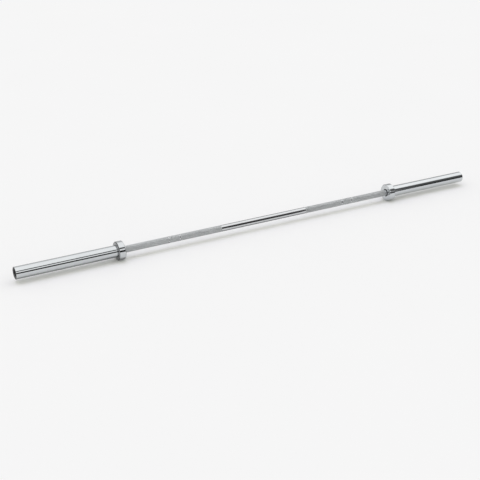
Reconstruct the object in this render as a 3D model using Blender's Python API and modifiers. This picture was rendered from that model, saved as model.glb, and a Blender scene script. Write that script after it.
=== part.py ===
"""Olympic barbell: a steel shaft with knurled grips and a chromed sleeve that spins freely on each end.

Each sleeve runs on two bronze bushings, one behind the collar and one near the tip. Pushed inwards,
it stops against a shoulder on the shaft. Pulled outwards, it stops against a snap ring on the shaft's
tip. A thrust washer lies between in both cases, so hardened steel takes the rubbing and not the ring.

The bar lies along X with its middle at the origin, and +Z is up. The pieces of one end are drawn
once, as distances out from the face of the collar that looks at the grip, and each side turns them
to point out of its own end of the bar.
"""

from collections import namedtuple
from math import asin, cos, pi, radians, sin, tan

import bmesh
import bpy
from mathutils import Vector

MM = 0.001

# Grip
GRIP_LENGTH = 1310 * MM  # shaft between the two collars
GRIP_DIAMETER = 28 * MM
SMOOTH_CENTRE_LENGTH = 420 * MM
INNER_MARK_SPACING = 810 * MM  # middle to middle of the inner pair of hand marks
OUTER_MARK_SPACING = 910 * MM
MARK_WIDTH = 4 * MM
KNURL_ROOT_DEPTH = 0.15 * MM  # how far the knurl's valleys lie under the smooth grip
KNURL_SETBACK = 9 * MM  # smooth neck between the knurl and the collar

# Shaft ends, inside the sleeves
JOURNAL_DIAMETER = 25 * MM
SHOULDER_SETBACK = 3 * MM  # from the sleeve tube's inner end
SHOULDER_CHAMFER = 1 * MM
SHAFT_TIP_SETBACK = 3 * MM  # from the end cap's seat
SHAFT_TIP_CHAMFER = 1.2 * MM
CENTRE_HOLE_DIAMETER = 6 * MM
CENTRE_HOLE_ANGLE = radians(60)

# Sleeve tube
LOADABLE_LENGTH = 415 * MM
SLEEVE_DIAMETER = 50 * MM
SPIGOT_DIAMETER = 46 * MM  # turned down to carry the collar
SPIGOT_CHAMFER = 1 * MM
POCKET_DIAMETER = 38 * MM  # bored out at both ends for the bushings
TUBE_BORE_DIAMETER = 28.3 * MM
TIP_ROUND = 1.5 * MM
TIP_BORE_CHAMFER = 0.8 * MM

# Collar
COLLAR_DIAMETER = 78 * MM
COLLAR_WIDTH = 30 * MM
COLLAR_CHAMFER = 3 * MM
COLLAR_COUNTERBORE = 3 * MM  # takes the tube's shoulder, so that plates meet a clean corner
COLLAR_WEB = 1.7 * MM  # holds the dust seal in from behind
COLLAR_WEB_CLEARANCE = 0.8 * MM  # around the turning shaft
SEAL_POCKET_DIAMETER = 35 * MM
SEAL_POCKET_CHAMFER = 0.6 * MM

# Dust seal
SEAL_RECESS = 0.8 * MM
SEAL_WIDTH = 3.2 * MM
SEAL_LIP_CHAMFER = 1.1 * MM

# Bushings and thrust washers
BUSHING_LENGTH = 30 * MM
BUSHING_CHAMFER = 1 * MM
WASHER_THICKNESS = 2 * MM
WASHER_CLEARANCE = 1 * MM  # around its rim, inside the pocket

# Snap ring on the shaft
SHAFT_RING_THICKNESS = 2 * MM
SHAFT_RING_SETBACK = 3 * MM  # from the shaft's tip to the groove
SHAFT_GROOVE_DEPTH = 1.2 * MM
SHAFT_RING_BACK_WIDTH = 3.9 * MM
SHAFT_RING_TIP_WIDTH = 2.4 * MM
SHAFT_RING_LUG_HEIGHT = 5.2 * MM
SHAFT_RING_LUG_WIDTH = 4.6 * MM
SHAFT_RING_GAP = 3.4 * MM

# End cap and the snap ring that holds it
CAP_SEAT_DIAMETER = 42 * MM
CAP_THICKNESS = 4 * MM
CAP_RIM_WIDTH = 5 * MM
CAP_DISH_DEPTH = 1.2 * MM
CAP_CHAMFER = 0.6 * MM
CAP_RING_THICKNESS = 1.8 * MM
CAP_RING_SETBACK = 2.4 * MM  # from the sleeve's tip to the groove
CAP_GROOVE_DEPTH = 1.2 * MM
CAP_RING_BACK_WIDTH = 3.8 * MM
CAP_RING_TIP_WIDTH = 2.4 * MM
CAP_RING_LUG_HEIGHT = 5.6 * MM
CAP_RING_LUG_WIDTH = 5 * MM
CAP_RING_GAP = 7 * MM

# Details that both snap rings share
PLIER_HOLE_DIAMETER = 2.2 * MM
LUG_ROUND = 1.1 * MM

# Clearances
SEAT_GAP = 0.3 * MM  # between faces that touch, and around what is pressed in
RUNNING_GAP = 0.3 * MM  # around the shaft, in what turns on it

# Fineness of the curves
SLEEVE_SEGMENTS = 48
SHAFT_SEGMENTS = 32
FILLET_STEPS = 3
RING_STEPS = 16
PLIER_HOLE_STEPS = 10
MERGE_DISTANCE = 0.01 * MM

# Places along one end of the bar, out from the collar's inner face: first the inner bearing
SEAL_START = SEAL_RECESS
SEAL_END = SEAL_START + SEAL_WIDTH
SEAL_POCKET_END = SEAL_END + SEAT_GAP
COLLAR_LIP_END = SEAL_POCKET_END + COLLAR_WEB
TUBE_START = COLLAR_LIP_END + SEAT_GAP
SHAFT_SHOULDER = TUBE_START + SHOULDER_SETBACK
INNER_WASHER_START = SHAFT_SHOULDER + SEAT_GAP
INNER_BUSHING_START = INNER_WASHER_START + WASHER_THICKNESS + SEAT_GAP
INNER_POCKET_END = INNER_BUSHING_START + BUSHING_LENGTH + SEAT_GAP
COLLAR_SHOULDER = COLLAR_WIDTH - COLLAR_COUNTERBORE
SPIGOT_END = COLLAR_SHOULDER + SEAT_GAP

# Then from the sleeve's tip back to the outer bearing
SLEEVE_TIP = COLLAR_WIDTH + LOADABLE_LENGTH
CAP_GROOVE_END = SLEEVE_TIP - CAP_RING_SETBACK
CAP_GROOVE_START = CAP_GROOVE_END - CAP_RING_THICKNESS - 2 * SEAT_GAP
CAP_RING_START = CAP_GROOVE_START + SEAT_GAP
CAP_END = CAP_RING_START - SEAT_GAP
CAP_START = CAP_END - CAP_THICKNESS
CAP_SEAT = CAP_START - SEAT_GAP
SHAFT_TIP = CAP_SEAT - SHAFT_TIP_SETBACK
SHAFT_GROOVE_END = SHAFT_TIP - SHAFT_RING_SETBACK
SHAFT_GROOVE_START = SHAFT_GROOVE_END - SHAFT_RING_THICKNESS - 2 * SEAT_GAP
SHAFT_RING_START = SHAFT_GROOVE_START + SEAT_GAP
OUTER_WASHER_START = SHAFT_RING_START - SEAT_GAP - WASHER_THICKNESS
OUTER_BUSHING_START = OUTER_WASHER_START - SEAT_GAP - BUSHING_LENGTH
OUTER_POCKET_START = OUTER_BUSHING_START - SEAT_GAP

# Finishes, as colour, metallic and roughness
FINISHES = {
    "satin_chrome": ((0.62, 0.63, 0.64), 1.0, 0.32),
    "bright_chrome": ((0.80, 0.81, 0.82), 1.0, 0.08),
    "sintered_bronze": ((0.63, 0.42, 0.20), 1.0, 0.42),
    "hardened_steel": ((0.45, 0.46, 0.47), 1.0, 0.30),
    "spring_steel": ((0.10, 0.10, 0.11), 1.0, 0.45),
    "black_plastic": ((0.012, 0.012, 0.013), 0.0, 0.45),
    "black_rubber": ((0.018, 0.018, 0.018), 0.0, 0.75),
}

SIDES = {"left": -1, "right": 1}

Corner = namedtuple("Corner", "point size steps")


def sharp(across, along):
    return Corner(Vector((across, along)), 0, 0)


def chamfered(across, along, size):
    return Corner(Vector((across, along)), size, 1)


def rounded(across, along, radius):
    return Corner(Vector((across, along)), radius, FILLET_STEPS)


def outline_points(corners):
    """The points of an outline, with an arc, or a straight cut, at each corner that has a size."""
    points = []
    for index, (corner, size, steps) in enumerate(corners):
        if not steps:
            points.append(corner)
            continue
        to_previous = (corners[index - 1].point - corner).normalized()
        to_next = (corners[(index + 1) % len(corners)].point - corner).normalized()
        half_angle = to_previous.angle(to_next) / 2
        setback = size / tan(half_angle)
        centre = corner + (to_previous + to_next).normalized() * size / sin(half_angle)
        first = (corner + to_previous * setback - centre).normalized()
        last = (corner + to_next * setback - centre).normalized()
        points += [centre + size * first.slerp(last, step / steps) for step in range(steps + 1)]
    return points


def finished_mesh(name, maker):
    """The mesh that a maker object shows, closed and shaded, with the maker and its own data removed."""
    mesh = bpy.data.meshes.new_from_object(maker.evaluated_get(bpy.context.evaluated_depsgraph_get()))
    bpy.data.objects.remove(maker)
    shape = bmesh.new()
    shape.from_mesh(mesh)
    bmesh.ops.remove_doubles(shape, verts=shape.verts, dist=MERGE_DISTANCE)
    bmesh.ops.recalc_face_normals(shape, faces=shape.faces)
    shape.to_mesh(mesh)
    shape.free()
    mesh.name = name
    mesh.shade_smooth()
    mesh.set_sharp_from_angle(angle=radians(30))
    return mesh


def maker_object(name, data):
    maker = bpy.data.objects.new(name, data)
    bpy.context.scene.collection.objects.link(maker)
    return maker


def turned_mesh(name, points, closed, segments):
    """A profile of (radius, height) points turned round Z. Its outer side runs from the top down."""
    profile = bpy.data.meshes.new(f"{name}_profile")
    edges = [(index, index + 1) for index in range(len(points) - 1)]
    if closed:
        edges.append((len(points) - 1, 0))
    profile.from_pydata([(point.x, 0, point.y) for point in points], edges, [])
    lathe = maker_object(f"{name}_lathe", profile)
    screw = lathe.modifiers.new("Turn", "SCREW")
    screw.axis = "Z"
    screw.angle = 2 * pi
    screw.steps = segments
    screw.render_steps = segments
    screw.use_merge_vertices = True
    screw.merge_threshold = MERGE_DISTANCE
    return finished_mesh(name, lathe)


def turned_ring(name, corners, segments=SHAFT_SEGMENTS):
    """A turned piece with a bore: its outline runs down the outside and back up the bore."""
    return turned_mesh(name, outline_points(corners), True, segments)


def turned_solid(name, corners, segments=SHAFT_SEGMENTS):
    """A turned piece without a bore: its outline runs from the axis, down the outside, to the axis."""
    return turned_mesh(name, outline_points(corners), False, segments)


def snap_ring_mesh(name, seat_radius, thickness, reach, back, tip, lug_height, lug_width, gap):
    """A flat snap ring that opens towards local X, with a lug and a plier hole on each tip.

    seat_radius is the edge that sits in the groove. The ring is broadest opposite its gap, so that it
    bends evenly. reach is 1 for a ring round a shaft and -1 for one inside a bore, whose body and
    lugs lie outside or inside that edge.
    """

    def free_edge(angle):
        width = (back + tip) / 2 - (back - tip) / 2 * cos(angle)
        radius = seat_radius + reach * width
        return Vector((radius * cos(angle), radius * sin(angle)))

    lug_tip = seat_radius + reach * lug_height
    lug_side = gap / 2 + lug_width
    lug_root_angle = asin(lug_side / (seat_radius + reach * tip))
    seat_angle = asin(gap / 2 / seat_radius)
    half = [
        rounded(lug_tip, gap / 2, LUG_ROUND),
        rounded(lug_tip, lug_side, LUG_ROUND),
    ]
    for step in range(RING_STEPS + 1):
        point = free_edge(lug_root_angle + (pi - lug_root_angle) * step / RING_STEPS)
        half.append(sharp(point.x, point.y))
    upper = outline_points([sharp(seat_radius * cos(seat_angle), gap / 2)] + half)
    lower = [Vector((point.x, -point.y)) for point in reversed(upper[:-1])]
    seat = []
    for step in range(1, 2 * RING_STEPS):
        angle = -seat_angle - 2 * (pi - seat_angle) * step / (2 * RING_STEPS)
        seat.append(Vector((seat_radius * cos(angle), seat_radius * sin(angle))))

    curve = bpy.data.curves.new(name, "CURVE")
    curve.dimensions = "2D"
    curve.fill_mode = "BOTH"
    curve.extrude = thickness / 2
    add_loop(curve, upper + lower + seat)
    hole_across = lug_side - lug_width / 2
    hole_along = lug_tip - reach * lug_width / 2
    for side in (1, -1):
        centre = Vector((hole_along, side * hole_across))
        turns = [2 * pi * step / PLIER_HOLE_STEPS for step in range(PLIER_HOLE_STEPS)]
        radius = PLIER_HOLE_DIAMETER / 2
        add_loop(curve, [centre + radius * Vector((cos(turn), sin(turn))) for turn in turns])
    return finished_mesh(name, maker_object(f"{name}_outline", curve))


def add_loop(curve, points):
    spline = curve.splines.new("POLY")
    spline.points.add(len(points) - 1)
    for spline_point, point in zip(spline.points, points):
        spline_point.co = (point.x, point.y, 0, 1)
    spline.use_cyclic_u = True


def finish(name, colour, metallic, roughness):
    material = bpy.data.materials.new(name)
    material.use_nodes = True
    shader = material.node_tree.nodes["Principled BSDF"]
    shader.inputs["Base Color"].default_value = (*colour, 1)
    shader.inputs["Metallic"].default_value = metallic
    shader.inputs["Roughness"].default_value = roughness
    material.diffuse_color = (*colour, 1)
    return material


def add_piece(collection, name, data, finish_name, parent, out=0.0):
    """One piece of the bar, placed a distance out along its parent's Z axis."""
    piece = bpy.data.objects.new(name, data)
    piece.data.materials.append(finish(f"{name}_{finish_name}", *FINISHES[finish_name]))
    piece.parent = parent
    piece.location.z = out
    collection.objects.link(piece)
    return piece


def add_frame(collection, name, parent=None, side=0):
    """An empty on the bar's axis. With a side, it stands in that collar's inner face, Z pointing out."""
    frame = bpy.data.objects.new(name, None)
    frame.empty_display_size = COLLAR_DIAMETER
    frame.location.x = side * GRIP_LENGTH / 2
    frame.rotation_euler.y = (side or 1) * pi / 2
    frame.parent = parent
    collection.objects.link(frame)
    return frame


def knurl_bands():
    """Where each knurled band of one half of the grip starts and ends, out from the bar's middle."""
    starts = [SMOOTH_CENTRE_LENGTH / 2]
    ends = []
    for spacing in (INNER_MARK_SPACING, OUTER_MARK_SPACING):
        ends.append(spacing / 2 - MARK_WIDTH / 2)
        starts.append(spacing / 2 + MARK_WIDTH / 2)
    ends.append(GRIP_LENGTH / 2 - KNURL_SETBACK)
    return zip(starts, ends)


def shaft_mesh():
    """The whole shaft. The hand marks are narrow lands that the knurling tool leaves at full size."""
    grip = GRIP_DIAMETER / 2
    journal = JOURNAL_DIAMETER / 2
    groove = journal - SHAFT_GROOVE_DEPTH
    collar = GRIP_LENGTH / 2
    half = []
    for start, end in knurl_bands():
        half += [
            sharp(grip, start),
            sharp(grip - KNURL_ROOT_DEPTH, start),
            sharp(grip - KNURL_ROOT_DEPTH, end),
            sharp(grip, end),
        ]
    centre_hole = CENTRE_HOLE_DIAMETER / 2
    centre_hole_depth = centre_hole / tan(CENTRE_HOLE_ANGLE / 2)
    half += [
        chamfered(grip, collar + SHAFT_SHOULDER, SHOULDER_CHAMFER),
        sharp(journal, collar + SHAFT_SHOULDER),
        sharp(journal, collar + SHAFT_GROOVE_START),
        sharp(groove, collar + SHAFT_GROOVE_START),
        sharp(groove, collar + SHAFT_GROOVE_END),
        sharp(journal, collar + SHAFT_GROOVE_END),
        chamfered(journal, collar + SHAFT_TIP, SHAFT_TIP_CHAMFER),
        sharp(centre_hole, collar + SHAFT_TIP),
        sharp(0, collar + SHAFT_TIP - centre_hole_depth),
    ]
    points = outline_points(half)
    mirrored = [Vector((point.x, -point.y)) for point in points]
    return turned_mesh("shaft", points[::-1] + mirrored, False, SHAFT_SEGMENTS)


def sleeve_tube_mesh():
    sleeve = SLEEVE_DIAMETER / 2
    spigot = SPIGOT_DIAMETER / 2
    pocket = POCKET_DIAMETER / 2
    bore = TUBE_BORE_DIAMETER / 2
    cap_seat = CAP_SEAT_DIAMETER / 2
    groove = cap_seat + CAP_GROOVE_DEPTH
    return turned_ring(
        "sleeve_tube",
        [
            rounded(sleeve, SLEEVE_TIP, TIP_ROUND),
            sharp(sleeve, SPIGOT_END),
            sharp(spigot, SPIGOT_END),
            chamfered(spigot, TUBE_START, SPIGOT_CHAMFER),
            sharp(pocket, TUBE_START),
            sharp(pocket, INNER_POCKET_END),
            sharp(bore, INNER_POCKET_END),
            sharp(bore, OUTER_POCKET_START),
            sharp(pocket, OUTER_POCKET_START),
            sharp(pocket, CAP_SEAT),
            sharp(cap_seat, CAP_SEAT),
            sharp(cap_seat, CAP_GROOVE_START),
            sharp(groove, CAP_GROOVE_START),
            sharp(groove, CAP_GROOVE_END),
            sharp(cap_seat, CAP_GROOVE_END),
            chamfered(cap_seat, SLEEVE_TIP, TIP_BORE_CHAMFER),
        ],
        SLEEVE_SEGMENTS,
    )


def collar_mesh():
    """The stop that plates rest against. Its lip closes the tube's end and holds the dust seal."""
    rim = COLLAR_DIAMETER / 2
    bore = SPIGOT_DIAMETER / 2 + SEAT_GAP
    mouth = SLEEVE_DIAMETER / 2 + SEAT_GAP
    seal_pocket = SEAL_POCKET_DIAMETER / 2
    web = GRIP_DIAMETER / 2 + COLLAR_WEB_CLEARANCE
    return turned_ring(
        "collar",
        [
            chamfered(rim, COLLAR_WIDTH, COLLAR_CHAMFER),
            chamfered(rim, 0, COLLAR_CHAMFER),
            chamfered(seal_pocket, 0, SEAL_POCKET_CHAMFER),
            sharp(seal_pocket, SEAL_POCKET_END),
            sharp(web, SEAL_POCKET_END),
            sharp(web, COLLAR_LIP_END),
            sharp(bore, COLLAR_LIP_END),
            sharp(bore, COLLAR_SHOULDER),
            sharp(mouth, COLLAR_SHOULDER),
            sharp(mouth, COLLAR_WIDTH),
        ],
        SLEEVE_SEGMENTS,
    )


def dust_seal_mesh():
    rim = SEAL_POCKET_DIAMETER / 2 - SEAT_GAP
    lip = GRIP_DIAMETER / 2 + RUNNING_GAP
    return turned_ring(
        "dust_seal",
        [
            sharp(rim, SEAL_END),
            sharp(rim, SEAL_START),
            chamfered(lip, SEAL_START, SEAL_LIP_CHAMFER),
            chamfered(lip, SEAL_END, SEAL_LIP_CHAMFER),
        ],
    )


def bushing_mesh():
    rim = POCKET_DIAMETER / 2 - SEAT_GAP
    bore = JOURNAL_DIAMETER / 2 + RUNNING_GAP
    return turned_ring(
        "bushing",
        [
            chamfered(rim, BUSHING_LENGTH, BUSHING_CHAMFER),
            chamfered(rim, 0, BUSHING_CHAMFER),
            sharp(bore, 0),
            sharp(bore, BUSHING_LENGTH),
        ],
    )


def thrust_washer_mesh():
    rim = POCKET_DIAMETER / 2 - WASHER_CLEARANCE
    bore = JOURNAL_DIAMETER / 2 + RUNNING_GAP
    return turned_ring(
        "thrust_washer",
        [sharp(rim, WASHER_THICKNESS), sharp(rim, 0), sharp(bore, 0), sharp(bore, WASHER_THICKNESS)],
    )


def end_cap_mesh():
    """A round plug with a raised rim for the snap ring to bear on, and a dished middle."""
    rim = CAP_SEAT_DIAMETER / 2 - SEAT_GAP
    dish = rim - CAP_RIM_WIDTH
    return turned_solid(
        "end_cap",
        [
            sharp(0, CAP_THICKNESS - CAP_DISH_DEPTH),
            sharp(dish - CAP_DISH_DEPTH, CAP_THICKNESS - CAP_DISH_DEPTH),
            sharp(dish, CAP_THICKNESS),
            chamfered(rim, CAP_THICKNESS, CAP_CHAMFER),
            chamfered(rim, 0, CAP_CHAMFER),
            sharp(0, 0),
        ],
    )


def shaft_snap_ring_mesh():
    return snap_ring_mesh(
        "shaft_snap_ring",
        seat_radius=JOURNAL_DIAMETER / 2 - SHAFT_GROOVE_DEPTH + SEAT_GAP,
        thickness=SHAFT_RING_THICKNESS,
        reach=1,
        back=SHAFT_RING_BACK_WIDTH,
        tip=SHAFT_RING_TIP_WIDTH,
        lug_height=SHAFT_RING_LUG_HEIGHT,
        lug_width=SHAFT_RING_LUG_WIDTH,
        gap=SHAFT_RING_GAP,
    )


def cap_snap_ring_mesh():
    return snap_ring_mesh(
        "cap_snap_ring",
        seat_radius=CAP_SEAT_DIAMETER / 2 + CAP_GROOVE_DEPTH - SEAT_GAP,
        thickness=CAP_RING_THICKNESS,
        reach=-1,
        back=CAP_RING_BACK_WIDTH,
        tip=CAP_RING_TIP_WIDTH,
        lug_height=CAP_RING_LUG_HEIGHT,
        lug_width=CAP_RING_LUG_WIDTH,
        gap=CAP_RING_GAP,
    )


def add_shaft_end(collection, side_name, shaft_end):
    """What stays with the shaft inside one sleeve: both thrust washers and the snap ring."""
    pieces = (
        ("inner_thrust_washer", thrust_washer_mesh(), "hardened_steel", INNER_WASHER_START),
        ("outer_thrust_washer", thrust_washer_mesh(), "hardened_steel", OUTER_WASHER_START),
        (
            "shaft_snap_ring",
            shaft_snap_ring_mesh(),
            "spring_steel",
            SHAFT_RING_START + SHAFT_RING_THICKNESS / 2,
        ),
    )
    for name, data, finish_name, out in pieces:
        add_piece(collection, f"{side_name}_{name}", data, finish_name, shaft_end, out)


def add_sleeve(collection, side_name, sleeve):
    """What spins together on one end of the shaft."""
    pieces = (
        ("sleeve_tube", sleeve_tube_mesh(), "bright_chrome", 0),
        ("collar", collar_mesh(), "bright_chrome", 0),
        ("dust_seal", dust_seal_mesh(), "black_rubber", 0),
        ("inner_bushing", bushing_mesh(), "sintered_bronze", INNER_BUSHING_START),
        ("outer_bushing", bushing_mesh(), "sintered_bronze", OUTER_BUSHING_START),
        ("end_cap", end_cap_mesh(), "black_plastic", CAP_START),
        (
            "cap_snap_ring",
            cap_snap_ring_mesh(),
            "spring_steel",
            CAP_RING_START + CAP_RING_THICKNESS / 2,
        ),
    )
    for name, data, finish_name, out in pieces:
        add_piece(collection, f"{side_name}_{name}", data, finish_name, sleeve, out)


def build_barbell():
    for leftover in list(bpy.data.objects):
        bpy.data.objects.remove(leftover)
    collection = bpy.data.collections.new("barbell")
    bpy.context.scene.collection.children.link(collection)
    bar_axis = add_frame(collection, "bar_axis")
    add_piece(collection, "shaft", shaft_mesh(), "satin_chrome", bar_axis)
    for side_name, side in SIDES.items():
        shaft_end = add_frame(collection, f"{side_name}_shaft_end", side=side)
        add_shaft_end(collection, side_name, shaft_end)
        sleeve_axis = add_frame(collection, f"{side_name}_sleeve_axis", side=side)
        add_sleeve(collection, side_name, sleeve_axis)


build_barbell()
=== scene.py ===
# %% [markdown]
# # The looks of a chromed barbell
#
# This lesson dresses a seven-foot weightlifting bar. The solid model of the bar is loaded first
# and is never moved: it says where every piece lies, in metres, with the bar along X, its middle
# at the origin and +Z up. Everything that shows is then turned again on a finer lathe, knurled,
# polished and lit.
#
# Chrome is the whole difficulty here. A mirror has no colour of its own, so the bar looks right
# only when its surfaces are truly round and the studio around it is the right one.

from math import cos, hypot, pi, radians, sin, tan, tau

import bmesh
import bpy
from mathutils import Matrix, Vector


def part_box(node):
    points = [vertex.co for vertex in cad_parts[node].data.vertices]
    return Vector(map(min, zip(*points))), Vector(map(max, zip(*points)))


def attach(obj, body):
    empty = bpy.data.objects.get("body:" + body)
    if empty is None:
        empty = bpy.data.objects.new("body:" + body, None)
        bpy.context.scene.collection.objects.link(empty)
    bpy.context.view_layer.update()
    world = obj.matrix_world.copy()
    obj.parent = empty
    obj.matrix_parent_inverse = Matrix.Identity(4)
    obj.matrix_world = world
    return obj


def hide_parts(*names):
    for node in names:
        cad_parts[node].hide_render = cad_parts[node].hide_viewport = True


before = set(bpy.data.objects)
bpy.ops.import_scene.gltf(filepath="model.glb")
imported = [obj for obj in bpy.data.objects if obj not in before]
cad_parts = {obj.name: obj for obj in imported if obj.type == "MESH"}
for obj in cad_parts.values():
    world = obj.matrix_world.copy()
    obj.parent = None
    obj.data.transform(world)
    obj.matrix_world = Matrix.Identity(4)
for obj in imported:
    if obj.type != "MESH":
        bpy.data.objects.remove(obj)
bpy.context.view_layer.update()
print("pieces in the solid model:", len(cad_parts))

# %% [markdown]
# The camera stands to the front left, four metres from the bar and at a standing person's eye
# height. It could be moved by eye until the bar looks right, but a picture of a straight round
# bar can be measured: the width of the sleeves near and far gives the distance, and the slope of
# the axis gives the angle. So the camera is placed by a bearing, a height angle and a distance
# from the bar's middle, and is then turned slightly off that middle.

# %% Place the camera
MM = 0.001
CAMERA_BEARING = radians(30.41)
CAMERA_HEIGHT_ANGLE = radians(22.91)
CAMERA_DISTANCE = 4.013
LOOK_BEARING = radians(28.82)
LOOK_DOWN = radians(24.21)
SENSOR_WIDTH = 36.0
LENS = 69.3
FARTHEST_VIEW = 200


def direction_from(bearing, height_angle):
    """A unit vector that points from the bar towards a place in front of it, seen from above."""
    level = cos(height_angle)
    return Vector((-sin(bearing) * level, -cos(bearing) * level, sin(height_angle)))


camera_data = bpy.data.cameras.new("camera")
camera_data.lens = LENS
camera_data.sensor_width = SENSOR_WIDTH
camera_data.clip_end = FARTHEST_VIEW
camera = bpy.data.objects.new("camera", camera_data)
camera.location = CAMERA_DISTANCE * direction_from(CAMERA_BEARING, CAMERA_HEIGHT_ANGLE)
camera.rotation_euler = (-direction_from(LOOK_BEARING, LOOK_DOWN)).to_track_quat("-Z", "Y").to_euler()
bpy.context.scene.collection.objects.link(camera)
bpy.context.scene.camera = camera
bpy.context.scene.view_settings.view_transform = "Standard"
print("camera at", [round(value, 3) for value in camera.location])

# %% [markdown]
# The measures come from the solid model. Each piece of one end is described by how far out it
# lies from the bar's middle, so one description serves the left and the right end.

# %% Measure the pieces


def reach(node):
    """How far out a piece starts and ends, and its largest radius."""
    low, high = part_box(node)
    near, far = sorted((abs(low.x), abs(high.x)))
    return near, far, high.z


COLLAR_FACE, COLLAR_BACK, COLLAR_RADIUS = reach("left_collar")
TUBE_START, SLEEVE_TIP, SLEEVE_RADIUS = reach("left_sleeve_tube")
CAP_START, CAP_END, CAP_RADIUS = reach("left_end_cap")
SEAL_START, SEAL_END, SEAL_RADIUS = reach("left_dust_seal")
_, BUSHING_END, BUSHING_RADIUS = reach("left_inner_bushing")
OUTER_BUSHING_START, _, _ = reach("left_outer_bushing")
WASHER_START, _, _ = reach("left_inner_thrust_washer")
SHAFT_RING_START, SHAFT_RING_END, _ = reach("left_shaft_snap_ring")
CAP_RING_START, CAP_RING_END, _ = reach("left_cap_snap_ring")
SHAFT_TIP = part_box("shaft")[1].x
GRIP_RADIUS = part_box("shaft")[1].z
FLOOR_LEVEL = -COLLAR_RADIUS
SIDES = {"left": -1, "right": 1}
print("sleeve", round(SLEEVE_RADIUS / MM, 1), "mm and grip", round(GRIP_RADIUS / MM, 1), "mm in radius")

# %% [markdown]
# Every piece of the bar came off a lathe, so every piece is made here the way a turner draws it:
# a half section, with each corner broken or rounded by its own amount, swept once round the axis.
# A cylinder with a bevel would also do for the tube, but not for pockets, grooves and lips.
#
# Bevel works on single corners of a flat face, so the section is rounded before it is spun. A
# full spin needs its last step merged with its first. The weighted normals at the end let the
# long faces keep a straight reflection right up to the small rounded edges.

# %% Turn a half section
LATHE_STEPS = 160
ROUND_STEPS = 5
WELD = 0.002 * MM


def rounded_section(corners):
    """A flat half section through the axis. A corner is (x, radius) or (x, radius, edge round)."""
    shape = bmesh.new()
    points = [shape.verts.new((corner[0], 0, corner[1])) for corner in corners]
    shape.faces.new(points)
    rounds = {}
    for point, corner in zip(points, corners):
        if len(corner) > 2:
            rounds.setdefault(corner[2], []).append(point)
    for size, sharp_points in rounds.items():
        bmesh.ops.bevel(shape, geom=sharp_points, offset=size, offset_type="OFFSET", affect="VERTICES",
                        segments=ROUND_STEPS, profile=0.5, material=-1, clamp_overlap=False)
    return shape


def turned(corners):
    """The section's outline swept once round the bar's axis, closed and facing out."""
    shape = rounded_section(corners)
    bmesh.ops.delete(shape, geom=shape.faces[:], context="FACES_ONLY")
    on_axis = [edge for edge in shape.edges if max(vert.co.z for vert in edge.verts) < WELD]
    bmesh.ops.delete(shape, geom=on_axis, context="EDGES")
    bmesh.ops.spin(shape, geom=shape.verts[:] + shape.edges[:], cent=(0, 0, 0), axis=(1, 0, 0),
                   angle=tau, steps=LATHE_STEPS, use_merge=True)
    bmesh.ops.remove_doubles(shape, verts=shape.verts, dist=WELD)
    bmesh.ops.recalc_face_normals(shape, faces=shape.faces)
    return shape


print("each piece is turned in", LATHE_STEPS, "steps")

# %% Make a finished piece of a shape
SHARP_ANGLE = radians(35)


def piece_from(shape, name, finish, body, smooth=True):
    """A finished piece of the bar, at the origin and unturned, that moves with its body."""
    mesh = bpy.data.meshes.new(name)
    shape.to_mesh(mesh)
    shape.free()
    mesh.materials.append(finish)
    piece = bpy.data.objects.new(name, mesh)
    bpy.context.scene.collection.objects.link(piece)
    if smooth:
        mesh.shade_smooth()
        mesh.set_sharp_from_angle(angle=SHARP_ANGLE)
        even = piece.modifiers.new("Even normals", "WEIGHTED_NORMAL")
        even.keep_sharp = True
    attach(piece, body)
    print(name, len(mesh.polygons), "faces")
    return piece


print("edges sharper than", round(SHARP_ANGLE * 360 / tau), "degrees stay sharp")

# %% [markdown]
# Finishes are small networks of nodes. All of them read the piece's own coordinates in metres,
# so that a scratch has a real length and nothing slides when a sleeve spins. These helpers add a
# node, join it up and hand back its output, which keeps each finish below short enough to read.

# %% Helpers for the finishes


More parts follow.
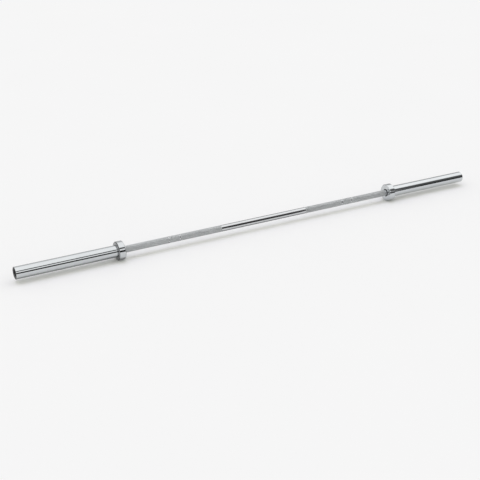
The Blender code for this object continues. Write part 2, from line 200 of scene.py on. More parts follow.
class Finish:
    """A material in the making: its nodes, its Principled shader and the piece's coordinates."""

    def __init__(self, name, colour, metallic, roughness):
        self.material = bpy.data.materials.new(name)
        self.material.use_nodes = True
        self.material.diffuse_color = (*colour, 1)
        self.nodes = self.material.node_tree.nodes
        self.shader = self.nodes["Principled BSDF"]
        self.shader.inputs["Base Color"].default_value = (*colour, 1)
        self.shader.inputs["Metallic"].default_value = metallic
        self.shader.inputs["Roughness"].default_value = roughness
        self.place = self.add("ShaderNodeTexCoord").outputs["Object"]

    def add(self, kind, **settings):
        node = self.nodes.new(kind)
        for name, value in settings.items():
            setattr(node, name, value)
        return node

    def join(self, source, target):
        self.material.node_tree.links.new(source, target)

    def math(self, operation, first, second=0.0, clamp=False):
        node = self.add("ShaderNodeMath", operation=operation, use_clamp=clamp)
        for socket, value in zip(node.inputs, (first, second)):
            if isinstance(value, (int, float)):
                socket.default_value = value
            else:
                self.join(value, socket)
        return node.outputs["Value"]

    def stretched(self, scale):
        """The piece's coordinates, stretched along some axes."""
        mapping = self.add("ShaderNodeMapping")
        mapping.inputs["Scale"].default_value = scale
        self.join(self.place, mapping.inputs["Vector"])
        return mapping.outputs["Vector"]

    def noise(self, scale, detail=2.0, vector=None, along=None):
        """Soft noise in space or, with along, in steps of one measure only."""
        node = self.add("ShaderNodeTexNoise", noise_dimensions="1D" if along else "3D")
        node.inputs["Scale"].default_value = scale
        node.inputs["Detail"].default_value = detail
        if along:
            self.join(along, node.inputs["W"])
        else:
            self.join(vector or self.place, node.inputs["Vector"])
        return node.outputs["Fac"]

    def ramp(self, value, low, high, to_low=0.0, to_high=1.0):
        """Stretches a range of a value to another range, and cuts off what is outside."""
        node = self.add("ShaderNodeMapRange", clamp=True)
        self.join(value, node.inputs["Value"])
        for name, number in (("From Min", low), ("From Max", high), ("To Min", to_low), ("To Max", to_high)):
            node.inputs[name].default_value = number
        return node.outputs["Result"]

    def blend(self, share, first, second):
        """One colour where the share is 0 and the other where it is 1."""
        node = self.add("ShaderNodeMix", data_type="RGBA")
        self.join(share, node.inputs["Factor"])
        for socket, value in zip((node.inputs["A"], node.inputs["B"]), (first, second)):
            if isinstance(value, tuple):
                socket.default_value = (*value, 1)
            else:
                self.join(value, socket)
        return node.outputs["Result"]

    def relief(self, height, depth, strength=1.0):
        """Turns a height into bumps of a real depth."""
        node = self.add("ShaderNodeBump")
        node.inputs["Strength"].default_value = strength
        node.inputs["Distance"].default_value = depth
        self.join(height, node.inputs["Height"])
        self.join(node.outputs["Normal"], self.shader.inputs["Normal"])

    def axes(self):
        """How far along the bar a point is, and how far from its axis."""
        split = self.add("ShaderNodeSeparateXYZ")
        self.join(self.place, split.inputs["Vector"])
        across = self.math("MULTIPLY", split.outputs["Y"], split.outputs["Y"])
        upwards = self.math("MULTIPLY", split.outputs["Z"], split.outputs["Z"])
        return split.outputs["X"], self.math("SQRT", self.math("ADD", across, upwards))

    def worn_edges(self, low=0.52, high=0.60):
        """1 on outer edges and 0 on flats, from how far the surface bends."""
        return self.ramp(self.add("ShaderNodeNewGeometry").outputs["Pointiness"], low, high)

    def set_colour(self, colour):
        self.join(colour, self.shader.inputs["Base Color"])

    def set_roughness(self, roughness):
        self.join(roughness, self.shader.inputs["Roughness"])


print("helpers:", [name for name in vars(Finish) if not name.startswith("_")])

# %% [markdown]
# Chrome plating over turned steel is almost a perfect mirror. What keeps it from looking like
# computer chrome is slight: a haze from handling, the finest rings left by polishing on the
# lathe, a few long scuffs where plates slide on, and edges where the plating has dulled.
#
# Plates also knock against the tip of each sleeve and the outer face of each collar, and these
# are duller. Their colour is also turned to a dark grey instead of mirror chrome, which is painted
# shade. Two materials painted on different faces would do that, but the places are known by their
# distance from the bar's middle, so one recipe makes both kinds of chrome and is only told where
# the duller, painted-shade part starts: at the round of the tip, and at the chamfer of the collar.

# %% Bright chrome
TIP_ROUND = 1.5 * MM
COLLAR_CHAMFER = 3 * MM
DULL_AND_SHADED_BLEND = 0.4 * MM


def make_bright_chrome(name, dull_and_shaded_from, painted_shade_colour, dull_roughness):
    """Mirror chrome that is duller, and painted darker as shade, from some distance out from the bar's
    middle.
    """
    chrome = Finish(name, (0.61, 0.62, 0.63), 1.0, 0.06)
    haze = chrome.noise(14, detail=4)
    scuffs = chrome.noise(1.0, detail=3, vector=chrome.stretched((9, 900, 900)))
    scuff_lines = chrome.ramp(scuffs, 0.62, 0.72)
    edges = chrome.worn_edges()
    along, _ = chrome.axes()
    dull_and_shaded = chrome.ramp(chrome.math("ABSOLUTE", along), dull_and_shaded_from, dull_and_shaded_from + DULL_AND_SHADED_BLEND)
    plated = chrome.blend(chrome.ramp(haze, 0.3, 0.7), (0.604, 0.624, 0.635), (0.575, 0.595, 0.608))
    rubbed = chrome.blend(edges, plated, (0.50, 0.505, 0.51))
    # Past the dull start the colour turns dark grey, which is painted shade.
    chrome.set_colour(chrome.blend(dull_and_shaded, rubbed, painted_shade_colour))
    base = chrome.ramp(haze, 0.35, 0.75, 0.035, 0.085)
    scuffed = chrome.math("ADD", base, chrome.math("MULTIPLY", scuff_lines, 0.06))
    dull_edges = chrome.math("MULTIPLY", edges, 0.12)
    worn = chrome.math("MAXIMUM", dull_edges, chrome.math("MULTIPLY", dull_and_shaded, dull_roughness))
    chrome.set_roughness(chrome.math("ADD", scuffed, worn))
    chrome.relief(chrome.noise(2400, detail=2, along=along), 0.002 * MM, 0.25)
    return chrome.material


# The dark colours given here are painted shade at the sleeve tip and at the collar's outer face.
sleeve_chrome = make_bright_chrome("sleeve_chrome", SLEEVE_TIP - TIP_ROUND + DULL_AND_SHADED_BLEND,
                                   (0.13, 0.13, 0.13), 0.35)
collar_chrome = make_bright_chrome("collar_chrome", COLLAR_BACK - COLLAR_CHAMFER - DULL_AND_SHADED_BLEND / 2,
                                   (0.30, 0.305, 0.31), 0.18)
print("finishes:", sleeve_chrome.name, collar_chrome.name)

# %% [markdown]
# The grip is plated too, but the middle of the bar is polished less finely, with fine rings.

# %% Shaft chrome


def make_shaft_chrome():
    steel = Finish("shaft_chrome", (0.60, 0.61, 0.62), 1.0, 0.1)
    haze = steel.noise(22, detail=4)
    edges = steel.worn_edges()
    colour = steel.blend(steel.ramp(haze, 0.3, 0.7), (0.60, 0.61, 0.62), (0.565, 0.575, 0.585))
    steel.set_colour(steel.blend(edges, colour, (0.48, 0.485, 0.49)))
    base = steel.ramp(haze, 0.3, 0.75, 0.045, 0.10)
    steel.set_roughness(steel.math("ADD", base, steel.math("MULTIPLY", edges, 0.12)))
    along, _ = steel.axes()
    steel.relief(steel.noise(1800, detail=2, along=along), 0.003 * MM, 0.3)
    return steel.material


shaft_chrome = make_shaft_chrome()
print("finish:", shaft_chrome.name)

# %% [markdown]
# The knurl is the same plated steel, cut into thousands of small pyramids. Hands polish the
# crests, and the valleys keep a grey film. The finish reads the distance from the axis, so it
# knows crest from valley without any painted mask.

# %% Knurled steel
KNURL_ROOT = GRIP_RADIUS - 0.15 * MM
KNURL_DEPTH = 0.25 * MM


def make_knurled_steel():
    steel = Finish("knurled_steel", (0.62, 0.64, 0.65), 0.74, 0.4)
    _, radius = steel.axes()
    height = steel.ramp(radius, KNURL_ROOT, KNURL_ROOT + KNURL_DEPTH)
    patches = steel.ramp(steel.noise(30, detail=3), 0.3, 0.7)
    flank = steel.blend(patches, (0.66, 0.68, 0.69), (0.60, 0.615, 0.625))
    steel.set_colour(steel.blend(height, (0.40, 0.41, 0.415), flank))
    steel.set_roughness(steel.ramp(height, 0.0, 1.0, 0.46, 0.28))
    steel.relief(steel.noise(5200, detail=2), 0.006 * MM, 0.4)
    return steel.material


knurled_steel = make_knurled_steel()
print("finish:", knurled_steel.name)

# %% [markdown]
# The pieces inside the sleeves never show in the picture, yet they are there when the bar is
# taken apart. Bronze bushings are pressed from powder and soaked in oil, so they are speckled.
# The thrust washers are hardened and lapped flat, and the snap rings have a dark phosphate coat.

# %% Bronze, hardened steel and spring steel


def make_sintered_bronze():
    bronze = Finish("sintered_bronze", (0.60, 0.40, 0.19), 1.0, 0.42)
    grains = bronze.noise(1500, detail=3)
    oil = bronze.noise(60, detail=3)
    grain_colour = bronze.blend(bronze.ramp(grains, 0.4, 0.6), (0.62, 0.42, 0.20), (0.42, 0.27, 0.13))
    bronze.set_colour(bronze.blend(bronze.ramp(oil, 0.45, 0.7), grain_colour, (0.34, 0.22, 0.11)))
    bronze.set_roughness(bronze.ramp(oil, 0.35, 0.7, 0.5, 0.28))
    bronze.relief(grains, 0.02 * MM, 0.6)
    return bronze.material


def make_hardened_steel():
    steel = Finish("hardened_steel", (0.46, 0.46, 0.47), 1.0, 0.28)
    _, radius = steel.axes()
    rings = steel.noise(5000, detail=2, along=radius)
    steel.set_colour(steel.blend(steel.ramp(rings, 0.35, 0.65), (0.48, 0.47, 0.46), (0.38, 0.38, 0.39)))
    steel.set_roughness(steel.ramp(rings, 0.3, 0.7, 0.22, 0.38))
    steel.relief(rings, 0.004 * MM, 0.5)
    return steel.material


def make_spring_steel():
    steel = Finish("spring_steel", (0.07, 0.07, 0.075), 0.85, 0.42)
    grain = steel.noise(2600, detail=3)
    coat = steel.blend(steel.ramp(grain, 0.35, 0.65), (0.060, 0.060, 0.064), (0.10, 0.10, 0.105))
    steel.set_colour(steel.blend(steel.worn_edges(), coat, (0.32, 0.32, 0.33)))
    steel.set_roughness(steel.ramp(grain, 0.3, 0.7, 0.36, 0.5))
    steel.relief(grain, 0.006 * MM, 0.5)
    return steel.material


sintered_bronze = make_sintered_bronze()
hardened_steel = make_hardened_steel()
spring_steel = make_spring_steel()
print("finishes:", sintered_bronze.name, hardened_steel.name, spring_steel.name)

# %% [markdown]
# The plugs in the sleeve tips are moulded black plastic with a fine spark-eroded grain, a little
# shinier where they are handled. The dust seals are soft black rubber that greys with dust.

# %% Black plastic and black rubber


def make_black_plastic():
    plastic = Finish("black_plastic", (0.012, 0.012, 0.013), 0.0, 0.42)
    grain = plastic.noise(3200, detail=2)
    rubbed = plastic.noise(45, detail=3)
    body = plastic.blend(plastic.ramp(rubbed, 0.35, 0.7), (0.010, 0.010, 0.011), (0.017, 0.017, 0.018))
    plastic.set_colour(plastic.blend(plastic.worn_edges(0.54, 0.64), body, (0.035, 0.035, 0.036)))
    plastic.set_roughness(plastic.ramp(rubbed, 0.3, 0.7, 0.42, 0.58))
    plastic.shader.inputs["Specular IOR Level"].default_value = 0.12
    plastic.relief(grain, 0.015 * MM, 0.5)
    return plastic.material


def make_black_rubber():
    rubber = Finish("black_rubber", (0.018, 0.018, 0.018), 0.0, 0.75)
    dust = rubber.noise(120, detail=4)
    rubber.set_colour(rubber.blend(rubber.ramp(dust, 0.5, 0.8), (0.016, 0.016, 0.016), (0.05, 0.049, 0.047)))
    rubber.set_roughness(rubber.ramp(dust, 0.3, 0.7, 0.62, 0.82))
    rubber.shader.inputs["Specular IOR Level"].default_value = 0.3
    rubber.relief(rubber.noise(4000, detail=2), 0.01 * MM, 0.4)
    return rubber.material


black_plastic = make_black_plastic()
black_rubber = make_black_rubber()
print("finishes:", black_plastic.name, black_rubber.name)

# %% [markdown]
# The shaft is one bar of steel from tip to tip. Between the collars it is full size, apart from
# the bands where the knurl is cut. Narrow lands between those bands are the hand marks, by which
# a lifter finds the grip without looking. Past the collars it steps down to the journals that
# the sleeves run on, with a groove for the snap ring and a centre hole in each tip.
#
# Its half section is listed once for one end and mirrored for the other, because both ends of a
# bar are the same. The bands are turned deeper here, to take the knurled rings that come next.

# %% The shaft's section
SMOOTH_CENTRE = 420 * MM
MARK_SPACINGS = (810 * MM, 910 * MM)
MARK_WIDTH = 4 * MM
NECK = 9 * MM
KNURL_BED = GRIP_RADIUS - 0.7 * MM
JOURNAL_RADIUS = 12.5 * MM
GROOVE_DEPTH = 1.2 * MM
SEAT_GAP = 0.3 * MM
CENTRE_HOLE_RADIUS = 3 * MM
CENTRE_HOLE_DEPTH = 5.2 * MM
LAND_ROUND = 0.15 * MM
SHOULDER_ROUND = 1 * MM
SHAFT_TIP_ROUND = 1.2 * MM


def knurl_bands():
    """Where each knurled band on one side of the bar starts and ends, out from the middle."""
    starts = [SMOOTH_CENTRE / 2]
    ends = []
    for spacing in MARK_SPACINGS:
        ends.append(spacing / 2 - MARK_WIDTH / 2)
        starts.append(spacing / 2 + MARK_WIDTH / 2)
    ends.append(COLLAR_FACE - NECK)
    return list(zip(starts, ends))


def shaft_half():
    """One half of the shaft's outline, from its middle out to its tip."""
    corners = []
    for start, end in knurl_bands():
        corners += [(start, GRIP_RADIUS, LAND_ROUND), (start, KNURL_BED), (end, KNURL_BED),
                    (end, GRIP_RADIUS, LAND_ROUND)]
    shoulder = WASHER_START - SEAT_GAP
    groove = JOURNAL_RADIUS - GROOVE_DEPTH
    return corners + [
        (shoulder, GRIP_RADIUS, SHOULDER_ROUND),
        (shoulder, JOURNAL_RADIUS),
        (SHAFT_RING_START - SEAT_GAP, JOURNAL_RADIUS),
        (SHAFT_RING_START - SEAT_GAP, groove),
        (SHAFT_RING_END + SEAT_GAP, groove),
        (SHAFT_RING_END + SEAT_GAP, JOURNAL_RADIUS),
        (SHAFT_TIP, JOURNAL_RADIUS, SHAFT_TIP_ROUND),
        (SHAFT_TIP, CENTRE_HOLE_RADIUS),
        (SHAFT_TIP - CENTRE_HOLE_DEPTH, 0),
    ]


print("knurled bands on each side:", [tuple(round(end / MM) for end in band) for band in knurl_bands()])

# %% Turn the shaft
right_half = shaft_half()
left_half = [(-corner[0], *corner[1:]) for corner in reversed(right_half)]
shaft_bar = piece_from(turned(left_half + right_half), "shaft_bar", shaft_chrome, "shaft")
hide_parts("shaft")

# %% [markdown]
# Knurling rolls two sets of slanting grooves into the bar, and what stays between them is a field
# of diamonds. A bump map would look the same from across the room, but a lifter holds this part,
# so the diamonds here are real.
#
# The trick is to get a mesh whose faces are diamonds. Poking every face of a tube puts a point in
# its middle and cuts it into four triangles. Dissolving the tube's old edges then joins the
# triangles in pairs across them, and each pair is a diamond. Its length follows from the 30 degrees
# at which knurling wheels are cut. Insetting each diamond by itself and lifting it gives a tooth
# with four sloping flanks and a small worn flat on top.

# %% Knurl one band
TEETH_AROUND = 58
KNURL_ANGLE = radians(30)
TOOTH_WIDTH = tau * KNURL_ROOT / TEETH_AROUND
TOOTH_LENGTH = TOOTH_WIDTH / tan(KNURL_ANGLE)
TOOTH_FLANK = 0.42 * MM
RING_OVERLAP = 0.1 * MM


def push_to_radius(points, radius):
    """Moves points straight out from the axis, or in to it, until they lie at this radius."""
    for point in points:
        share = radius / hypot(point.co.y, point.co.z)
        point.co.y *= share
        point.co.z *= share


def knurled_ring(start, end):
    """A closed ring from start to end along the bar, with diamond teeth on its outside."""
    shape = bmesh.new()
    rows = round((end - start) / TOOTH_LENGTH)
    lie_down = Matrix.Translation(((start + end) / 2, 0, 0)) @ Matrix.Rotation(pi / 2, 4, "Y")
    bmesh.ops.create_cone(shape, cap_ends=False, segments=TEETH_AROUND, radius1=KNURL_ROOT,
                          radius2=KNURL_ROOT, depth=end - start, matrix=lie_down)
    lengthwise = [edge for edge in shape.edges if edge.calc_length() > (end - start) / 2]
    bmesh.ops.subdivide_edges(shape, edges=lengthwise, cuts=rows - 1)
    old_edges = [edge for edge in shape.edges if not edge.is_boundary]
    middles = bmesh.ops.poke(shape, faces=shape.faces[:])["verts"]
    push_to_radius(middles, KNURL_ROOT)
    bmesh.ops.dissolve_edges(shape, edges=old_edges, use_verts=False)
    bmesh.ops.recalc_face_normals(shape, faces=shape.faces)
    outward = shape.faces[0].normal.dot(shape.faces[0].calc_center_median() * Vector((0, 1, 1)))
    if outward < 0:
        bmesh.ops.reverse_faces(shape, faces=shape.faces)
    diamonds = [face for face in shape.faces if len(face.verts) == 4]
    bmesh.ops.inset_individual(shape, faces=diamonds, thickness=TOOTH_FLANK, depth=KNURL_DEPTH)
    rims = [edge for edge in shape.edges if edge.is_boundary]
    walls = bmesh.ops.extrude_edge_only(shape, edges=rims)["geom"]
    push_to_radius([item for item in walls if isinstance(item, bmesh.types.BMVert)],
                   KNURL_BED - RING_OVERLAP)
    bmesh.ops.bridge_loops(shape, edges=[edge for edge in shape.edges if edge.is_boundary])
    bmesh.ops.recalc_face_normals(shape, faces=shape.faces)
    return shape


print("a tooth is", round(TOOTH_WIDTH / MM, 2), "mm wide and", round(TOOTH_LENGTH / MM, 2), "mm long")

# %% Knurl the grips
BAND_NAMES = ("inner", "middle", "outer")

for side_name, side in SIDES.items():
    for band_name, band in zip(BAND_NAMES, knurl_bands()):
        start, end = sorted(side * edge for edge in band)
        piece_from(knurled_ring(start, end), f"{side_name}_{band_name}_knurl", knurled_steel,
                   "shaft", smooth=False)

# %% [markdown]
# A sleeve is a thick tube. Its inner end is turned down to carry the collar, both ends are bored
# out for the bushings, and its tip is rounded so that plates slide on easily. The section runs
# along the outside and back through the bore. The other side is the same list with X turned
# round, and recalculated normals put that mirrored skin the right way out.

# %% Turn the sleeve tubes
SPIGOT_RADIUS = 23 * MM
COUNTERBORE = 3 * MM
POCKET_RADIUS = BUSHING_RADIUS + SEAT_GAP
TUBE_BORE_RADIUS = 14.15 * MM
CAP_SEAT_RADIUS = CAP_RADIUS + SEAT_GAP
CAP_GROOVE_RADIUS = CAP_SEAT_RADIUS + GROOVE_DEPTH
SPIGOT_ROUND = 1 * MM
MOUTH_ROUND = 0.8 * MM
BROKEN_EDGE = 0.3 * MM


def sleeve_corners():
    shoulder = COLLAR_BACK - COUNTERBORE + SEAT_GAP
    return [
        (SLEEVE_TIP, SLEEVE_RADIUS, TIP_ROUND),
        (shoulder, SLEEVE_RADIUS, BROKEN_EDGE),
        (shoulder, SPIGOT_RADIUS),
        (TUBE_START, SPIGOT_RADIUS, SPIGOT_ROUND),
        (TUBE_START, POCKET_RADIUS, BROKEN_EDGE),
        (BUSHING_END + SEAT_GAP, POCKET_RADIUS),
        (BUSHING_END + SEAT_GAP, TUBE_BORE_RADIUS),
        (OUTER_BUSHING_START - SEAT_GAP, TUBE_BORE_RADIUS),
        (OUTER_BUSHING_START - SEAT_GAP, POCKET_RADIUS),
        (CAP_START - SEAT_GAP, POCKET_RADIUS),
        (CAP_START - SEAT_GAP, CAP_SEAT_RADIUS),
        (CAP_RING_START - SEAT_GAP, CAP_SEAT_RADIUS),
        (CAP_RING_START - SEAT_GAP, CAP_GROOVE_RADIUS),
        (CAP_RING_END + SEAT_GAP, CAP_GROOVE_RADIUS),
        (CAP_RING_END + SEAT_GAP, CAP_SEAT_RADIUS),
        (SLEEVE_TIP, CAP_SEAT_RADIUS, MOUTH_ROUND),
    ]


def on_side(side, corners):
    """The same section, pointing out of the left or the right end of the bar."""
    return [(side * corner[0], *corner[1:]) for corner in corners]


for side_name, side in SIDES.items():
    tube = piece_from(turned(on_side(side, sleeve_corners())), f"{side_name}_sleeve", sleeve_chrome,
                      f"{side_name}_sleeve")
    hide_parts(f"{side_name}_sleeve_tube")

# %% [markdown]
# The collar is the ring that plates rest against. It sits on the tube's spigot, its mouth takes
# the tube's shoulder, and a lip on the grip side holds the dust seal. It carries the whole bar on
# the ground and takes the knocks of the plates, so both rims are chamfered. A sharp chamfer would
# look cut out of paper, so each of its two edges is broken by a much smaller round, and so is the
# edge of the seal's pocket.

# %% Turn the collars
CHAMFER_ROUND = 0.6 * MM
COUNTERBORE_ROUND = 0.25 * MM
SEAL_POCKET_RADIUS = SEAL_RADIUS + SEAT_GAP
WEB_RADIUS = GRIP_RADIUS + 0.8 * MM


def collar_corners():
    bore = SPIGOT_RADIUS + SEAT_GAP
    mouth = SLEEVE_RADIUS + SEAT_GAP
    lip_end = TUBE_START - SEAT_GAP
    return [
        (COLLAR_BACK, COLLAR_RADIUS - COLLAR_CHAMFER, CHAMFER_ROUND),
        (COLLAR_BACK - COLLAR_CHAMFER, COLLAR_RADIUS, CHAMFER_ROUND),
        (COLLAR_FACE + COLLAR_CHAMFER, COLLAR_RADIUS, CHAMFER_ROUND),
        (COLLAR_FACE, COLLAR_RADIUS - COLLAR_CHAMFER, CHAMFER_ROUND),
        (COLLAR_FACE, SEAL_POCKET_RADIUS, CHAMFER_ROUND),
        (SEAL_END + SEAT_GAP, SEAL_POCKET_RADIUS),
        (SEAL_END + SEAT_GAP, WEB_RADIUS),
        (lip_end, WEB_RADIUS),
        (lip_end, bore),
        (COLLAR_BACK - COUNTERBORE, bore),
        (COLLAR_BACK - COUNTERBORE, mouth),
        (COLLAR_BACK, mouth, COUNTERBORE_ROUND),
    ]


for side_name, side in SIDES.items():
    collar = piece_from(turned(on_side(side, collar_corners())), f"{side_name}_stop_collar",
                        collar_chrome, f"{side_name}_sleeve")
    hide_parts(f"{side_name}_collar")

# %% [markdown]
# Two small turned pieces are left. The end plug is a shallow black dish with a raised rim, and
# the dust seal is a rubber ring whose lip tapers towards the shaft.

# %% Turn the end plugs and the dust seals
PLUG_RIM = 5 * MM
PLUG_DISH = 1.2 * MM
PLUG_ROUND = 0.6 * MM
DISH_ROUND = 0.4 * MM
SEAL_LIP = 1.1 * MM
SEAL_ROUND = 0.3 * MM
SEAL_FRONT_ROUND = 0.4 * MM
LIP_ROUND = 0.15 * MM
RUNNING_GAP = 0.3 * MM


def plug_corners():
    floor = CAP_END - PLUG_DISH
    rim_inside = CAP_RADIUS - PLUG_RIM
    return [
        (floor, 0),
        (floor, rim_inside - PLUG_DISH, PLUG_ROUND),
        (CAP_END, rim_inside, DISH_ROUND),
        (CAP_END, CAP_RADIUS, PLUG_ROUND),
        (CAP_START, CAP_RADIUS, PLUG_ROUND),
        (CAP_START, 0),
    ]


def seal_corners():
    lip = GRIP_RADIUS + RUNNING_GAP
    return [
        (SEAL_END, SEAL_RADIUS, SEAL_ROUND),
        (SEAL_START, SEAL_RADIUS, SEAL_FRONT_ROUND),
        (SEAL_START, lip + SEAL_LIP, SEAL_ROUND),
        (SEAL_START + SEAL_LIP, lip, LIP_ROUND),
        (SEAL_END - SEAL_LIP, lip, LIP_ROUND),
        (SEAL_END, lip + SEAL_LIP, SEAL_ROUND),
    ]


for side_name, side in SIDES.items():
    plug = piece_from(turned(on_side(side, plug_corners())), f"{side_name}_end_plug", black_plastic,
                      f"{side_name}_sleeve")
    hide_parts(f"{side_name}_end_cap")
    seal = piece_from(turned(on_side(side, seal_corners())), f"{side_name}_lip_seal", black_rubber,
                      f"{side_name}_sleeve")
    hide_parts(f"{side_name}_dust_seal")

# %% [markdown]
# The bushings, washers and snap rings already have their true shape in the solid model, so they
# stay as they are and only take a better finish.

# %% Finish the pieces that stay
KEPT_FINISHES = {
    "bushing": sintered_bronze,
    "washer": hardened_steel,
    "snap_ring": spring_steel,
}

for name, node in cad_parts.items():
    for ending, finish in KEPT_FINISHES.items():
        if name.endswith(ending):
            node.data.materials.clear()
            node.data.materials.append(finish)
            print(name, "is", finish.name)

# %% [markdown]
# The studio. The bar lies on a wide pale floor under soft light that comes from everywhere, with
# a slightly stronger broad light overhead. That lights the ground evenly and leaves only a soft
# shadow under the bar. The overhead light is a little blue and the room's light a little yellow:
# together they make white, and the shadow, which the overhead light misses, is slightly warm.
#
# The camera and the mirrors should see a neutral room all the same. So the world mixes two
# colours by the kind of ray: one lights the floor, and the other is what eyes and chrome see.

# %% Floor
FLOOR_SIZE = 120.0
FLOOR_COLOUR = (0.90, 0.90, 0.90)


def plain_finish(name, colour, roughness):
    finish = Finish(name, colour, 0.0, roughness)
    mottle = finish.ramp(finish.noise(1.2, detail=2), 0.3, 0.7)
    darker = tuple(channel * 0.995 for channel in colour)
    finish.set_colour(finish.blend(mottle, colour, darker))
    finish.shader.inputs["Specular IOR Level"].default_value = 0.0
    return finish.material


floor_shape = bmesh.new()
bmesh.ops.create_grid(floor_shape, x_segments=8, y_segments=8, size=FLOOR_SIZE / 2,
                      matrix=Matrix.Translation((0, 0, FLOOR_LEVEL)))
floor_mesh = bpy.data.meshes.new("floor")
floor_shape.to_mesh(floor_mesh)
floor_shape.free()
floor_mesh.materials.append(plain_finish("pale_floor", FLOOR_COLOUR, 0.9))
floor = bpy.data.objects.new("floor", floor_mesh)
bpy.context.scene.collection.objects.link(floor)

print("the floor is", FLOOR_SIZE, "m wide, at", round(FLOOR_LEVEL / MM), "mm")

# %% Room light and overhead light
ROOM_LIGHT = (0.878, 0.877, 0.820)
ROOM_SEEN = (0.93, 0.93, 0.925)
OVERHEAD_POWER = 0.667
OVERHEAD_COLOUR = (0.72, 0.72, 1.0)
OVERHEAD_WIDTH = radians(42)
OVERHEAD_TILT = radians(-12)


def light_the_room():
    """A world with one colour for the light it gives and another for how it is seen."""
    world = bpy.data.worlds.new("room")
    world.use_nodes = True
    nodes = world.node_tree.nodes
    links = world.node_tree.links
    light_path = nodes.new("ShaderNodeLightPath")
    seen = light_path.outputs["Is Camera Ray"]
    for ray in ("Is Glossy Ray", "Is Transmission Ray"):
        either = nodes.new("ShaderNodeMath")
        either.operation = "MAXIMUM"
        links.new(seen, either.inputs[0])
        links.new(light_path.outputs[ray], either.inputs[1])
        seen = either.outputs["Value"]
    colour = nodes.new("ShaderNodeMix")
    colour.data_type = "RGBA"
    colour.inputs["A"].default_value = (*ROOM_LIGHT, 1)
    colour.inputs["B"].default_value = (*ROOM_SEEN, 1)
    links.new(seen, colour.inputs["Factor"])
    links.new(colour.outputs["Result"], nodes["Background"].inputs["Color"])
    return world


bpy.context.scene.world = light_the_room()

overhead_data = bpy.data.lights.new("overhead", "SUN")
overhead_data.energy = OVERHEAD_POWER
overhead_data.angle = OVERHEAD_WIDTH
overhead_data.color = OVERHEAD_COLOUR
overhead = bpy.data.objects.new("overhead", overhead_data)
overhead.rotation_euler = (OVERHEAD_TILT, 0, 0)
overhead.visible_glossy = False
bpy.context.scene.collection.objects.link(overhead)
print("room and overhead light are on")

# %% [markdown]
# A mirror in such a white room would vanish, so photographers stand cards around it. A long dark
# card along the front draws the dark line in each tube. Before it stands a pale card that breaks
# this line in the near sleeve, and a grey one with a light streak for the far sleeve. Grey cards
# along the back and at the left shade the upper edges and the collars' rims, and a white one
# overhead gives the broad highlight. The grey card at the right does nothing for this picture:
# without it, the far sleeve would fade into the room when the bar is seen from its left end.
# Bands painted on the tubes would be wrong as soon as the camera moved, while mirrored cards
# stay right from everywhere.
#
# The cards are seen by reflections only. They take no light from the floor and cast no shadow.
# The floor would still get less light by way of the tubes, which throw their mirror image of the
# dark cards onto it. So a card turns to clear glass for light that has already left a matt
# surface, which Light Path tells by its Diffuse Depth, and the shadow under the bar stays soft.

# %% How a card glows and stands


def card_material(name, stops, axis="Z", fade=None):
    """A glowing card whose brightness follows a list of (place in metres, brightness).

    With fade, it starts as clear glass and becomes solid between these two places along the
    bar. It is clear glass everywhere for light that comes by way of a matt surface.
    """
    card = Finish(name, (1, 1, 1), 0.0, 1.0)
    card.nodes.remove(card.shader)
    first, last = stops[0][0], stops[-1][0]
    split = card.add("ShaderNodeSeparateXYZ")
    card.join(card.place, split.inputs["Vector"])
    shades = card.add("ShaderNodeValToRGB")
    card.join(card.ramp(split.outputs[axis], first, last), shades.inputs["Fac"])
    for place, _ in stops[1:-1]:
        shades.color_ramp.elements.new((place - first) / (last - first))
    for element, (_, brightness) in zip(shades.color_ramp.elements, stops):
        element.color = (brightness, brightness, brightness, 1)
    glow = card.add("ShaderNodeEmission")
    card.join(shades.outputs["Color"], glow.inputs["Color"])
    matt_bounces = card.add("ShaderNodeLightPath").outputs["Diffuse Depth"]
    clear = card.math("GREATER_THAN", matt_bounces, 0.5)
    if fade:
        clear = card.math("MAXIMUM", clear, card.ramp(split.outputs["X"], *fade, 1.0, 0.0))
    glow_or_glass = card.add("ShaderNodeMixShader")
    card.join(clear, glow_or_glass.inputs["Fac"])
    card.join(glow.outputs["Emission"], glow_or_glass.inputs[1])
    card.join(card.add("ShaderNodeBsdfTransparent").outputs["BSDF"], glow_or_glass.inputs[2])
    card.join(glow_or_glass.outputs["Shader"], card.nodes["Material Output"].inputs["Surface"])
    return card.material


def hang_card(name, near_edge, far_edge, material):
    """A flat card between two edges, seen only in reflections."""
    shape = bmesh.new()
    loops = []
    for edge in (near_edge, far_edge):
        loops.append(shape.edges.new([shape.verts.new(point) for point in edge]))
    bmesh.ops.bridge_loops(shape, edges=loops)
    mesh = bpy.data.meshes.new(name)
    shape.to_mesh(mesh)
    shape.free()
    mesh.materials.append(material)
    card = bpy.data.objects.new(name, mesh)
    bpy.context.scene.collection.objects.link(card)
    card.visible_camera = False
    card.visible_diffuse = False
    card.visible_shadow = False
    card.visible_volume_scatter = False
    print(name, "hangs in the studio")


def stand_card(name, left_foot, right_foot, stops, tops=None):
    """An upright card from its first height to its last, or to its own tops at left and right."""
    feet = (left_foot, right_foot)
    low, high = stops[0][0], stops[-1][0]
    lower_edge = [(*foot, low) for foot in feet]
    upper_edge = [(*foot, top) for foot, top in zip(feet, tops or (high, high))]
    hang_card(name, lower_edge, upper_edge, card_material(name, stops))


print("cards stand on the floor, at", round(FLOOR_LEVEL / MM), "mm")

# %% Cards around the bar
FRONT = -1.6
BACK = 5.0
CEILING = 3.0
CARD_STEP = 0.05
PALE_CARD_LINE = FRONT + CARD_STEP
GREY_CARD_LINE = PALE_CARD_LINE + CARD_STEP
STREAK_CARD_LINE = GREY_CARD_LINE + CARD_STEP

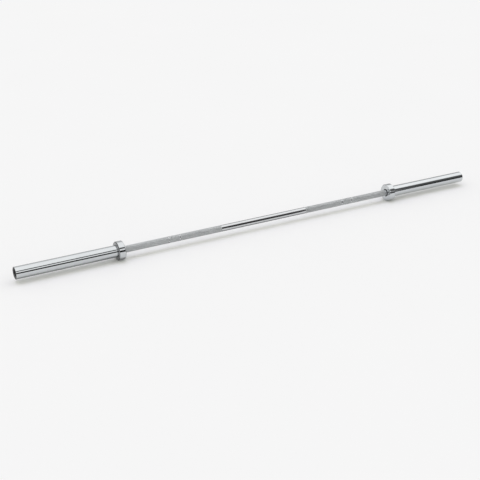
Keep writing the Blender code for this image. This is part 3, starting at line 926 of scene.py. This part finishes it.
stand_card("front_card", (-6, FRONT), (6, FRONT),
           [(FLOOR_LEVEL, 0.03), (0.5, 0.03), (0.55, 0.09), (1.44, 0.09), (1.91, 0.15), (2.2, 0.22),
            (2.7, 0.36)], tops=(1.4, 3.3))
stand_card("front_pale_card", (-2.0, PALE_CARD_LINE), (0.35, PALE_CARD_LINE),
           [(0.60, 0.89), (0.8, 1.11), (1.4, 1.25)], tops=(1.4, 1.15))
stand_card("front_grey_card", (1.4, GREY_CARD_LINE), (2.0, GREY_CARD_LINE),
           [(0.15, 0.13), (1.4, 0.18), (1.9, 0.3)])
stand_card("front_streak_card", (1.4, STREAK_CARD_LINE), (1.85, STREAK_CARD_LINE),
           [(0.45, 0.3), (0.7, 0.5), (0.95, 0.3)])
stand_card("back_left_card", (-12, BACK), (1.8, BACK), [(FLOOR_LEVEL, 0.45), (2.0, 0.65), (4.5, 0.85)])
stand_card("back_right_card", (1.8, BACK), (12, BACK), [(FLOOR_LEVEL, 0.33), (2.0, 0.48), (5.2, 0.7)])
stand_card("back_middle_card", (2.4, BACK - 2 * CARD_STEP), (3.5, BACK - 2 * CARD_STEP),
           [(FLOOR_LEVEL, 0.15), (2.0, 0.25), (4.8, 0.5)])
stand_card("left_card", (-2.2, FRONT), (-2.2, 3.6), [(FLOOR_LEVEL, 0.30), (1.4, 0.30), (2.0, 0.45)])
stand_card("right_card", (4, -0.8), (4, 1.4), [(FLOOR_LEVEL, 0.35), (1.0, 0.35), (1.8, 0.5)])
hang_card("ceiling_card", [(-6, -3.4, CEILING), (8, -0.5, CEILING)], [(-6, 2.6, CEILING), (8, 2.4, CEILING)],
          card_material("ceiling_card", [(-6, 1.26), (0.2, 1.27), (1.4, 1.30), (2.9, 1.35), (8, 1.35)],
                        "X"))

# %% [markdown]
# The underside of each tube mirrors the ground right below it. There the ground lies in deep
# shadow, which draws a thin dark line along the bottom edge, and that line makes a tube look
# round and heavy. A pale floor under soft light keeps this shadow too light for it, so strips of
# painted shadow, grey glowing cards, lie under the bar from its near end to past its middle. The
# one at the collar fades in, or its end would show as a corner in the tube. Like the cards, they
# show in reflections only.
#
# A piece of black felt also lies on the floor before the smooth middle of the bar. It carries the
# dark of the front card on towards the bar, and so makes the dark line in the middle wider.

# %% Painted shadow and felt on the floor
LAID_CARD_HEIGHT = 1 * MM
COLLAR_SHADOW_START = -0.80
FELT_BRIGHTNESS = 0.04


def lay_card(name, left, right, height, stops, fade=None):
    """A card lying just above the floor, from the first to the last distance behind the bar."""
    level = FLOOR_LEVEL + height
    edges = [[(x, stops[end][0], level) for x in (left, right)] for end in (0, -1)]
    hang_card(name, *edges, card_material(name, stops, "Y", fade))


# Painted shadow: grey strips under the sleeve and the collar that darken the mirrored ground.
lay_card("sleeve_painted_shadow", -1.1, 0.4, LAID_CARD_HEIGHT,
         [(-30 * MM, 0.5), (-16 * MM, 0.33), (10 * MM, 0.29), (30 * MM, 0.42)])
lay_card("collar_painted_shadow", COLLAR_SHADOW_START, -0.63, 1.5 * LAID_CARD_HEIGHT,
         [(-38 * MM, 0.45), (-22 * MM, 0.20), (-10 * MM, 0.12)], fade=(COLLAR_SHADOW_START, -0.68))

felt_level = FLOOR_LEVEL + LAID_CARD_HEIGHT
hang_card("centre_felt", [(-0.09, -0.22, felt_level), (0.33, -0.22, felt_level)],
          [(0.61, PALE_CARD_LINE, felt_level), (1.03, PALE_CARD_LINE, felt_level)],
          card_material("centre_felt", [(PALE_CARD_LINE, FELT_BRIGHTNESS), (-0.22, FELT_BRIGHTNESS)], "Y"))
